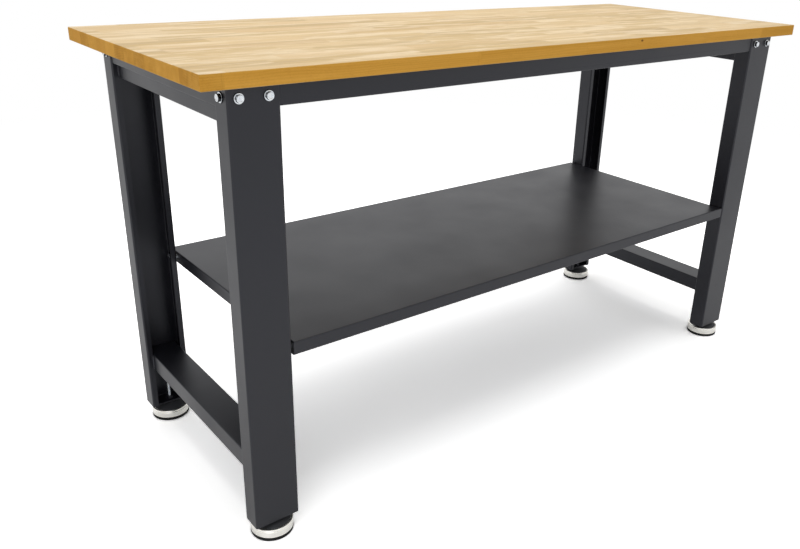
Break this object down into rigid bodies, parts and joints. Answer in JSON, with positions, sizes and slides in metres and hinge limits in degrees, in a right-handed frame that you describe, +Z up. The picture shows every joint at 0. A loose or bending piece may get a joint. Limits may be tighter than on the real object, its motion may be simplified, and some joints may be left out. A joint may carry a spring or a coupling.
{
  "type": "workbench",
  "caption": "Steel-framed assembly table: wood top, folded channel legs, sheet-steel shelf and screw-type levelling feet.",
  "frame": {"origin": "on the floor under the middle of the table, feet screwed in", "axes": "+X along the worktop, +Y towards the back, +Z up"},
  "size_m": [1.8, 0.684, 0.984],
  "materials": {
    "glued_wood": "clear varnish on edge-glued, finger-jointed hardwood staves",
    "powder_coat": "anthracite powder coat on folded sheet steel",
    "zinc_plate": "bright zinc plate",
    "bright_steel": "turned and polished steel",
    "moulded_nylon": "black moulded nylon",
    "rubber": "black moulded rubber"
  },
  "bodies": {
    "root": {"worktop": "glued_wood", "leg_front_left": "powder_coat", "foot_plate_front_left": "powder_coat", "weld_nut_front_left": "powder_coat", "leg_front_right": "powder_coat", "foot_plate_front_right": "powder_coat", "weld_nut_front_right": "powder_coat", "leg_rear_left": "powder_coat", "foot_plate_rear_left": "powder_coat", "weld_nut_rear_left": "powder_coat", "leg_rear_right": "powder_coat", "foot_plate_rear_right": "powder_coat", "weld_nut_rear_right": "powder_coat", "rail_front": "powder_coat", "rail_rear": "powder_coat", "rail_left": "powder_coat", "rail_right": "powder_coat", "top_crossbar_left": "powder_coat", "top_crossbar_right": "powder_coat", "lower_stretcher_left": "powder_coat", "lower_stretcher_right": "powder_coat", "shelf": "powder_coat", "shelf_stiffener_front": "powder_coat", "shelf_stiffener_rear": "powder_coat", "frame_bolts": "zinc_plate", "frame_washers": "zinc_plate", "frame_nuts": "zinc_plate", "shelf_bolts": "zinc_plate", "shelf_spacers": "zinc_plate", "shelf_nuts": "zinc_plate", "worktop_screws": "zinc_plate"},
    "foot_front_left": {"foot_pad_front_left": "rubber", "foot_band_front_left": "bright_steel", "foot_cap_front_left": "moulded_nylon"},
    "stud_front_left": {"levelling_stud_front_left": "zinc_plate"},
    "foot_front_right": {"foot_pad_front_right": "rubber", "foot_band_front_right": "bright_steel", "foot_cap_front_right": "moulded_nylon"},
    "stud_front_right": {"levelling_stud_front_right": "zinc_plate"},
    "foot_rear_left": {"foot_pad_rear_left": "rubber", "foot_band_rear_left": "bright_steel", "foot_cap_rear_left": "moulded_nylon"},
    "stud_rear_left": {"levelling_stud_rear_left": "zinc_plate"},
    "foot_rear_right": {"foot_pad_rear_right": "rubber", "foot_band_rear_right": "bright_steel", "foot_cap_rear_right": "moulded_nylon"},
    "stud_rear_right": {"levelling_stud_rear_right": "zinc_plate"}
  },
  "joints": [
    {"name": "foot_front_left_travel", "type": "slide", "parent": "root", "child": "foot_front_left", "axis": [0, 0, -1], "range_m": [0, 0.025]},
    {"name": "stud_front_left_turn", "type": "hinge", "parent": "foot_front_left", "child": "stud_front_left", "pos_m": [-0.793, -0.28, 0.08], "axis": [0, 0, -1], "range_deg": [0, 6000]},
    {"name": "foot_front_right_travel", "type": "slide", "parent": "root", "child": "foot_front_right", "axis": [0, 0, -1], "range_m": [0, 0.025]},
    {"name": "stud_front_right_turn", "type": "hinge", "parent": "foot_front_right", "child": "stud_front_right", "pos_m": [0.793, -0.28, 0.08], "axis": [0, 0, -1], "range_deg": [0, 6000]},
    {"name": "foot_rear_left_travel", "type": "slide", "parent": "root", "child": "foot_rear_left", "axis": [0, 0, -1], "range_m": [0, 0.025]},
    {"name": "stud_rear_left_turn", "type": "hinge", "parent": "foot_rear_left", "child": "stud_rear_left", "pos_m": [-0.793, 0.28, 0.08], "axis": [0, 0, -1], "range_deg": [0, 6000]},
    {"name": "foot_rear_right_travel", "type": "slide", "parent": "root", "child": "foot_rear_right", "axis": [0, 0, -1], "range_m": [0, 0.025]},
    {"name": "stud_rear_right_turn", "type": "hinge", "parent": "foot_rear_right", "child": "stud_rear_right", "pos_m": [0.793, 0.28, 0.08], "axis": [0, 0, -1], "range_deg": [0, 6000]}
  ],
  "couplings": [
    {"joint": "stud_front_left_turn", "follows": "foot_front_left_travel", "rad_per_m": 4188.8},
    {"joint": "stud_front_right_turn", "follows": "foot_front_right_travel", "rad_per_m": 4188.8},
    {"joint": "stud_rear_left_turn", "follows": "foot_rear_left_travel", "rad_per_m": 4188.8},
    {"joint": "stud_rear_right_turn", "follows": "foot_rear_right_travel", "rad_per_m": 4188.8}
  ]
}
